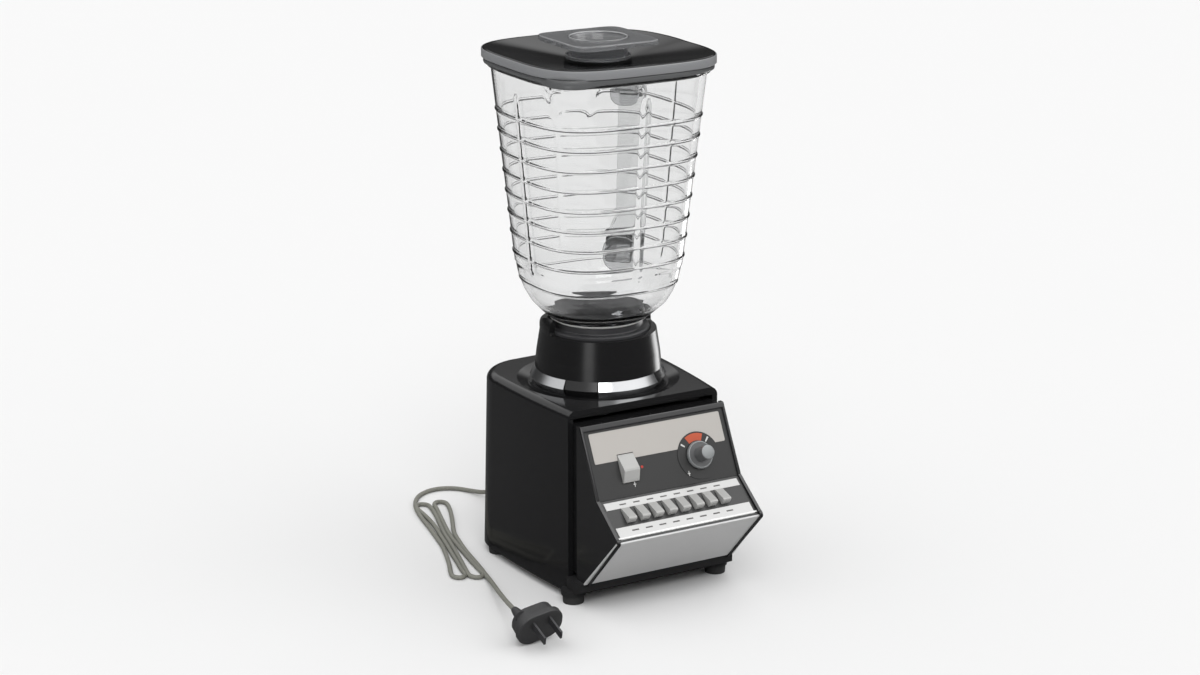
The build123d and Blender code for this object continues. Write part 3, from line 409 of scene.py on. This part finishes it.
def makeJar():
    # a stack of closed outlines: up the thread and the outside, over the rim, down the inside and the bore
    # outside reach = superellipse + the larger of the rings and the four ribs, joined softly to the spout
    s = jarSizes
    columns = s["columns"]
    angle = np.linspace(0, 2 * np.pi, columns, endpoint=False)
    threads = [s["lip"] + 2.5 + 4 * k + d for k in range(3) for d in (0, 0.35, 1.25, 1.6)]
    rings = [s["ringLow"] + s["ringPitch"] * k + d for k in range(s["ringCount"])
             for d in (-1.5, -1.05, -0.8, -0.5, 0, 0.5, 0.8, 1.05, 1.5)]
    rings += [s["creaseAt"] + d for d in (-1.2, -0.85, -0.6, -0.3, 0, 0.3, 0.6, 0.85, 1.2)]
    body = np.unique(np.concatenate([np.linspace(186.5, 228, 40), np.linspace(228, 364, 40), rings,
                                     [364.8, 365.6, 366.2]]))
    neck = np.concatenate([[s["lip"] + 0.6], threads, [184.0]])
    neckRadius = np.full(len(neck), s["neck"])
    for k in range(3):
        neckRadius[1 + 4 * k + 1: 1 + 4 * k + 3] = s["thread"]
    rows = [(np.full(columns, z), np.full(columns, r)) for z, r in
            [(s["lip"], s["neck"] - 0.7)] + list(zip(neck, neckRadius)) + [(184.8, 28.8), (185.0, 31.6)]]
    z, t = np.meshgrid(body, angle, indexing="ij")
    proud = sum(s["ringProud"] * np.exp(-((z - s["ringLow"] - s["ringPitch"] * k) / 0.85) ** 4)
                for k in range(s["ringCount"])) + s["creaseProud"] * np.exp(-((z - s["creaseAt"]) / 0.7) ** 4)
    reach = squircleReach(jarHalf(z), jarPower(z), t)
    side = np.minimum(np.abs(reach * np.cos(t)), np.abs(reach * np.sin(t)))
    rib = s["ribProud"] * np.exp(-(side / 2.6) ** 6)
    rib = rib / (1 + np.exp(-(z - 223) * 1.5)) / (1 + np.exp((z - 352) * 1.5))
    outer = withSpout(reach + np.maximum(proud, rib), z, t, 0)
    rows += list(zip(z, outer))
    for level, more in s["bead"]:
        top = np.full(columns, level)
        rows.append((top, np.maximum(squircleReach(bodyHalf(level) + more, s["beadPower"], angle),
                                     spoutReach(top, angle, 0) + 0.4 * more)))
    inside = [(s["rim"], s["wall"] - 0.6), (372.2, s["wall"] - 0.15)]
    inside += [(v, s["wall"]) for v in np.linspace(371.4, 194, 70)]
    for level, wall in inside:
        flat = np.full(columns, level)
        power = float(jarPower(np.array(level)))
        rows.append((flat, withSpout(squircleReach(float(jarHalf(np.array(level))) - wall, power, angle),
                                     flat, angle, wall)))
    bore = s["bore"]
    for level, radius in ((191.6, 33.6), (190.1, 30.2), (189.2, 27.2), (187.6, 25.2), (186, bore), (170, bore),
                          (168.3, bore + 0.2), (168, bore + 0.6)):
        rows.append((np.full(columns, level), np.full(columns, radius)))
    height = np.array([r[0] for r in rows])
    radius = np.array([r[1] for r in rows])
    points = np.stack([radius * np.cos(angle), radius * np.sin(angle), height], axis=-1) * mm + spindle
    jar = newPiece("pressedGlassJar", points, gridFaces(len(rows), columns, wrapRows=True), glass, "jar")
    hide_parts("glass_jar")


makeJar()
print("jar blown")

lidBand = {"low": 373.05, "high": 379.2, "half": 72.1, "power": 3.65, "thick": 0.5, "columns": 256}
lidSkirt = {"half": 70.7, "power": 3.6, "top": 373.0, "deep": 4.0, "spoutDeeper": 2.0, "spoutWide": 0.235,
            "spoutSoft": 0.03, "clear": 0.8, "columns": 320}


def makeLidBand():
    # a closed ring: superellipse outline carried round a small rounded rectangle
    b = lidBand
    angle = np.linspace(0, 2 * np.pi, b["columns"], endpoint=False)
    section = [(b["low"], -b["thick"]), (b["low"], -0.1), (b["low"] + 0.3, 0.1), (b["high"] - 0.5, 0.1),
               (b["high"], -0.3), (b["high"], -b["thick"])]
    reach = squircleReach(b["half"], b["power"], angle)
    rows = [np.stack([(reach + out) * np.cos(angle), (reach + out) * np.sin(angle), np.full(b["columns"], z)], axis=-1)
            for z, out in section]
    points = np.array(rows) * mm + spindle
    newPiece("lidEdgeBand", points, gridFaces(len(section), b["columns"], wrapRows=True), lidEdge, "lid")


def makeLidSkirt():
    # the lid's lower lip: a closed ring outside the glass bead that swells and drops over the pouring corner
    s = lidSkirt
    angle = np.linspace(0, 2 * np.pi, s["columns"], endpoint=False)
    away = np.abs(np.angle(np.exp(1j * (angle - spoutSizes["turn"]))))
    base = squircleReach(s["half"], s["power"], angle)
    drop = 1 / (1 + np.exp((away - s["spoutWide"]) / s["spoutSoft"]))
    spout = spoutReach(np.full(s["columns"], jarSizes["rim"]), angle, -s["clear"])
    # (share of the depth, how far out)
    section = [(0.0, -0.9), (0.0, 0.05), (0.12, 0.05), (0.2, 0.4), (0.75, 0.55), (0.95, 0.3), (1.0, -0.2),
               (0.9, -0.9)]
    rows = []
    for share, out in section:
        reach = np.maximum(base, spout) + out
        low = s["top"] - share * (s["deep"] + s["spoutDeeper"] * drop)
        rows.append(np.stack([reach * np.cos(angle), reach * np.sin(angle), low], axis=-1))
    points = np.array(rows) * mm + spindle
    faces = gridFaces(len(section), s["columns"], wrapRows=True)[:, ::-1]
    newPiece("lidLowerLip", points, faces, lipGrey, "lid")


makeLidBand()
makeLidSkirt()


def turned(name, centre, axis, profile, material, body, count=64):
    # profile of (radius, height along the axis) turned round the axis; first and last radius 0 close the ends
    axis = np.array(axis, float) / np.linalg.norm(axis)
    side = np.cross(axis, (1.0, 0, 0))
    side /= np.linalg.norm(side)
    other = np.cross(axis, side)
    a = np.linspace(0, 2 * np.pi, count, endpoint=False)
    ring = np.cos(a)[:, None] * side + np.sin(a)[:, None] * other
    inner = [p for p in profile if p[0] > 0]
    points = np.concatenate([r * ring + h * axis for r, h in inner]) + np.array(centre)
    faces = gridFaces(len(inner), count).tolist()
    if profile[0][0] == 0:
        faces.append(list(range(count))[::-1])
    if profile[-1][0] == 0:
        faces.append(list(range((len(inner) - 1) * count, len(inner) * count)))
    return newPiece(name, points * mm + spindle, faces, material, body)


upright = {"centre": (0, 0, 0), "axis": (0, 0, 1), "count": 96}
# (radius, height) round each closed section
neckPieces = {
    "liner": [(23.6, 170), (24.5, 170), (24.55, 187), (25.6, 188.6), (28.2, 190.3), (31.4, 192.2), (32.9, 193.6),
              (32.4, 194.0), (28, 191.4), (25, 189.9), (23.6, 187.5), (23.6, 170)],
    "seal": [(31.4, 184.72), (32.3, 184.72), (35.3, 186.55), (35.5, 186.9), (35.0, 186.9), (31.4, 185.0),
             (31.4, 184.72)],
}


def makeNeckPieces():
    # dark liner down the neck and a pale seal inside the foot of the glass
    turned("neckLiner", upright["centre"], upright["axis"], neckPieces["liner"], linerGrey, "screw_base",
           upright["count"])
    turned("neckSeal", upright["centre"], upright["axis"], neckPieces["seal"], whiteRubber, "jar",
           upright["count"])


handlePads = {
    "around": 48, "across": 15,
    "handlePadLow": {"reach": 61.0, "height": 216.5, "wide": 13.5, "tall": 13.5, "deep": 4.2},
    "handlePadTop": {"reach": 74.2, "height": 334.5, "wide": 11.5, "tall": 9.5, "deep": 3.2},
}


def makeHandlePads():
    # flattened superellipsoids on the back right corner, where the strap meets the wall
    around, across = handlePads["around"], handlePads["across"]
    for name in ("handlePadLow", "handlePadTop"):
        reach, height, wide, tall, deep = handlePads[name].values()
        u, v = np.meshgrid(np.linspace(0, 2 * np.pi, around, endpoint=False),
                           np.linspace(-1, 1, across + 2)[1:-1] * np.pi / 2)
        c = np.abs(np.cos(v)) ** 0.6
        lateral = wide * c * np.sign(np.cos(u)) * np.abs(np.cos(u)) ** 0.8
        rise = tall * c * np.sign(np.sin(u)) * np.abs(np.sin(u)) ** 0.8
        out = deep * np.sign(np.sin(v)) * np.abs(np.sin(v)) ** 0.8 + reach
        flat = np.stack([lateral, rise, out], axis=-1).reshape(-1, 3)
        flat = np.concatenate([flat, [(0, 0, reach - deep), (0, 0, reach + deep)]])
        k = math.sqrt(0.5)  # an eighth of a turn, towards the corner
        points = np.stack([flat[:, 2] * k - flat[:, 0] * k, flat[:, 2] * k + flat[:, 0] * k, height + flat[:, 1]],
                          axis=-1)
        faces = gridFaces(across, around)[:, ::-1].tolist()
        first, last = across * around, across * around + 1
        ring, top = np.arange(around), (across - 1) * around
        faces += np.stack([np.full(around, first), ring, (ring + 1) % around], axis=-1).tolist()
        faces += np.stack([np.full(around, last), (ring + 1) % around + top, ring + top], axis=-1).tolist()
        newPiece(name, points * mm + spindle, faces, padGlass, "jar")


def makeFeederRings():
    # bright moulded edges at the foot of the feeder cap and round its cup
    for name, radius, low in feederRings:
        section = [(radius - 0.55, low), (radius + 0.1, low), (radius + 0.25, low + 0.3), (radius, low + 0.6),
                   (radius - 0.45, low + 0.5), (radius - 0.55, low)]
        turned(name, upright["centre"], upright["axis"], section, edgeGlass, "feeder", upright["count"])


makeNeckPieces()
makeHandlePads()
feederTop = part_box("feeder_cap")[1][2] / mm
feederRings = [("feederFootRing", 22.9, 375.95), ("feederCupRing", 20.6, feederTop - 0.05)]  # name, radius, height
makeFeederRings()

# console print: a flat shape lies on a sloped face, x to the right and y up the slope
upperFace = {"top": (-75.5, 132.0), "foot": (-99.5, 84.0)}
keyFace = {"top": (-99.5, 84.0), "foot": (-128.5, 62.5)}


def upSlope(face):
    # unit direction from a sloped face's foot to its top, as (y, z)
    (topY, topZ), (footY, footZ) = face["top"], face["foot"]
    run = math.hypot(topY - footY, topZ - footZ)
    return (topY - footY) / run, (topZ - footZ) / run


def onFace(face, flat, proud):
    # place = top edge + x right + y up the slope + proud along the outward normal
    topY, topZ = face["top"]
    upY, upZ = upSlope(face)
    flat = np.asarray(flat, float)
    return np.stack([flat[:, 0], topY + flat[:, 1] * upY - proud * upZ, topZ + flat[:, 1] * upZ + proud * upY],
                    axis=-1)


def printShape(name, face, flat, low, thick, material):
    # a flat outline given a thickness along the face's normal, closed at both ends
    flat = np.asarray(flat, float)
    n = len(flat)
    points = np.concatenate([onFace(face, flat, low), onFace(face, flat, low + thick)]) * mm + spindle
    around = np.arange(n)
    sides = np.stack([around, (around + 1) % n, (around + 1) % n + n, around + n], axis=-1)
    faces = [list(f) for f in sides] + [list(around + n), list(around[::-1])]
    return newPiece(name, points, faces, material, "base", smooth=False)


def sector(x, s, inner, outer, start, stop):
    # ring segment, angles in degrees clockwise from straight up the slope
    a = np.radians(np.linspace(start, stop, 24))
    out = np.stack([x + outer * np.sin(a), -s + outer * np.cos(a)], axis=-1)
    back = np.stack([x + inner * np.sin(a[::-1]), -s + inner * np.cos(a[::-1])], axis=-1)
    return np.concatenate([out, back])[::-1]


def disc(x, s, radius, count=28):
    # s is the distance down the slope from the top edge
    a = np.linspace(0, 2 * np.pi, count, endpoint=False)
    return np.stack([x + radius * np.cos(a), -s + radius * np.sin(a)], axis=-1)


def bar(x, s, wide, tall):
    return np.array([(x - wide / 2, -s - tall / 2), (x + wide / 2, -s - tall / 2),
                     (x + wide / 2, -s + tall / 2), (x - wide / 2, -s + tall / 2)])


dial = {"x": 29.4, "s": 34.5, "face": 0.5, "ink": 0.07, "zone": (10.6, 16.0, -31, 24), "tickOut": 15.8,
        "tickHalf": 2.4, "ticks": [(-52, 12.4), (42, 11.6)]}  # ticks as (turn in degrees, inner radius)
faceMarks = {"ink": 0.09, "dot": (-17.3, 35, 1.0), "crossX": (-25.9, 18.3), "crossS": 46, "up": (0.5, 3.6),
             "across": (2.2, 0.5)}


def printDial():
    d, m = dial, faceMarks
    printShape("dialZone", upperFace, sector(d["x"], d["s"], *d["zone"]), d["face"], d["ink"], orange)
    for k, (turn, inner) in enumerate(d["ticks"]):
        tick = sector(d["x"], d["s"], inner, d["tickOut"], turn - d["tickHalf"], turn + d["tickHalf"])
        printShape(f"dialTick{k}", upperFace, tick, d["face"], d["ink"], whitePrint)
    printShape("powerDot", upperFace, disc(*m["dot"]), 0, m["ink"], redPrint)
    for k, x in enumerate(m["crossX"]):  # the second cross lies on the dial's disc, so it is higher by that much
        printShape(f"markUp{k}", upperFace, bar(x, m["crossS"], *m["up"]), d["face"] * k, m["ink"], whitePrint)
        printShape(f"markAcross{k}", upperFace, bar(x, m["crossS"], *m["across"]), d["face"] * k, 0.1, whitePrint)


printDial()


# (radius, height above the face)
knobTrim = {
    "ring": [(9.85, 0.95), (10.05, 1.2), (10.05, 2.9), (9.5, 3.5), (9.0, 3.55), (8.9, 3.46)],
    "cap": [(0, 13.9), (4.9, 13.9), (4.95, 14.15), (4.6, 14.3), (0, 14.3)],
}


def makeKnobTrim():
    # bright ring round the skirt and a pale disc on the grip's end
    upY, upZ = upSlope(upperFace)
    outward = (0, -upZ, upY)
    centre = onFace(upperFace, [(dial["x"], -dial["s"])], 0)[0]
    turned("knobRing", centre, outward, knobTrim["ring"], knobFace, "dial")
    turned("knobCap", centre, outward, knobTrim["cap"], knobFace, "dial")


makeKnobTrim()


keyPrint = {"count": 8, "firstX": -40.4, "pitch": 10.99, "strip": 0.35, "ink": 0.06, "dash": (5.3, 5.2, 1.0),
            "mark": (27.2, 5.4, 1.1)}  # dash and mark as (down the slope, wide, tall)


def printLabels():
    # one plain dash above each key and one below
    p = keyPrint
    for k in range(p["count"]):
        x = p["firstX"] + p["pitch"] * k
        for name, shape in (("keyDash", p["dash"]), ("keyMark", p["mark"])):
            printShape(f"{name}{k}", keyFace, bar(x, *shape), p["strip"], p["ink"], darkPrint)


bezelSizes = {"outer": 58.9, "inner": 56.9, "top": -0.2, "head": -4.3, "foot": -53.2, "round": 0.55}
stripEdge = {"down": 32.0, "wide": 113, "tall": 1.3, "round": 0.12}


def makeBezel():
    # raised black frame along the top and both sides of the sloped face, and a thin raised bar at the strip's lower
    # edge, coloured near white as a painted highlight
    b, e = bezelSizes, stripEdge
    outline = [(-b["outer"], b["top"]), (b["outer"], b["top"]), (b["outer"], b["foot"]), (b["inner"], b["foot"]),
               (b["inner"], b["head"]), (-b["inner"], b["head"]), (-b["inner"], b["foot"]), (-b["outer"], b["foot"])]
    bezel = printShape("faceBezel", upperFace, outline[::-1], 0.02, 1.5, bezelBlack)
    edge = printShape("stripEdge", keyFace, bar(0, e["down"], e["wide"], e["tall"]), 0.3, 0.35, paintedHighlightEdge)
    for piece, width in ((bezel, b["round"]), (edge, e["round"])):
        rounder = piece.modifiers.new("rounded", "BEVEL")
        rounder.width = width * mm
        rounder.segments = 3
        piece.data.polygons.foreach_set("use_smooth", np.full(len(piece.data.polygons), True))


printLabels()
makeBezel()
print("console printed")

# floor and light
# the floor's own pale tone, and a dark tone painted as shade into what glossy reflections see of it
floorSizes = {"half": 12, "tone": (0.86, 0.86, 0.86, 1), "paintedReflectionShade": (0.12, 0.12, 0.12, 1)}


def makeStage():
    h = floorSizes["half"]
    mesh = bpy.data.meshes.new("floor")
    mesh.from_pydata([(-h, -h, 0), (h, -h, 0), (h, h, 0), (-h, h, 0)], [], [(0, 1, 2, 3)])
    mesh.materials.append(finish("floorPale", floorSizes["tone"], tone=0.02, toneScale=3, rough=0.8, spread=0.05,
                                 specular=0.0))
    # painted shade in reflections: glossy reflection rays see the floor in a dark tone instead of its own, so glossy
    # black plastic mirrors a dimmer floor; sockets 6, 7 and 2 are the colours
    tree = mesh.materials[0].node_tree
    rays = tree.nodes.new("ShaderNodeLightPath")
    mirrored = tree.nodes.new("ShaderNodeMath")
    mirrored.operation = "MULTIPLY"
    tree.links.new(rays.outputs["Is Glossy Ray"], mirrored.inputs[0])
    tree.links.new(rays.outputs["Is Reflection Ray"], mirrored.inputs[1])
    dim = tree.nodes.new("ShaderNodeMix")
    dim.data_type = "RGBA"
    shader = tree.nodes["Principled BSDF"]
    tree.links.new(mirrored.outputs[0], dim.inputs["Factor"])
    tree.links.new(shader.inputs["Base Color"].links[0].from_socket, dim.inputs[6])
    dim.inputs[7].default_value = floorSizes["paintedReflectionShade"]
    tree.links.new(dim.outputs[2], shader.inputs["Base Color"])
    floor = addToScene(bpy.data.objects.new("floor", mesh))


lights = [
    {"name": "keySun", "turn": (42, -28), "strength": 0.94, "angle": 35},
    {"name": "fillSun", "turn": (50, 40), "strength": 0.4, "angle": 60},
]
# soft panels seen only in reflections
panels = [
    {"name": "rightStrip", "at": (0.53, 0.15, 0.065), "size": (0.2, 0.13), "watts": 0.38},
    {"name": "frontStrip", "at": (-0.62, -0.56, 0.05), "size": (0.26, 0.5), "watts": 0.75},
    {"name": "topPanel", "at": (0.75, -0.42, 1.4), "size": (0.9, 0.9), "watts": 5.5},
]
sky = {"zenith": 0.9, "low": 0.05, "from": 0.285, "to": 0.385}


def makeLights():
    for settings in lights:
        data = bpy.data.lights.new(settings["name"], "SUN")
        data.energy = settings["strength"]
        data.angle = math.radians(settings["angle"])
        lamp = addToScene(bpy.data.objects.new(settings["name"], data))
        tilt, turn = settings["turn"]
        lamp.rotation_euler = (math.radians(tilt), 0, math.radians(turn))
    for settings in panels:
        data = bpy.data.lights.new(settings["name"], "AREA")
        data.shape = "RECTANGLE"
        data.size, data.size_y = settings["size"]
        data.energy = settings["watts"]
        lamp = addToScene(bpy.data.objects.new(settings["name"], data))
        lamp.location = settings["at"]
        lamp.visible_diffuse = False
        lamp.visible_camera = False
        lamp.visible_transmission = False
        lamp.rotation_euler = (Vector((0, 0, 0.2)) - lamp.location).to_track_quat("-Z", "Y").to_euler()
    # the studio is bright overhead and dark round the walls
    world = bpy.data.worlds.new("studio")
    world.use_nodes = True
    tree = world.node_tree
    tree.nodes["Background"].inputs["Color"].default_value = (1, 1, 1, 1)
    place = tree.nodes.new("ShaderNodeTexCoord")
    parts = tree.nodes.new("ShaderNodeSeparateXYZ")
    ramp = tree.nodes.new("ShaderNodeMapRange")
    tree.links.new(place.outputs["Generated"], parts.inputs[0])
    tree.links.new(parts.outputs["Z"], ramp.inputs["Value"])
    ramp.inputs["From Min"].default_value = sky["from"]
    ramp.inputs["From Max"].default_value = sky["to"]
    ramp.inputs["To Min"].default_value = sky["low"]
    ramp.inputs["To Max"].default_value = sky["zenith"]
    tree.links.new(ramp.outputs["Result"], tree.nodes["Background"].inputs["Strength"])
    bpy.context.scene.world = world


makeStage()
makeLights()
bpy.context.scene.view_settings.view_transform = "Standard"
print("stage lit")
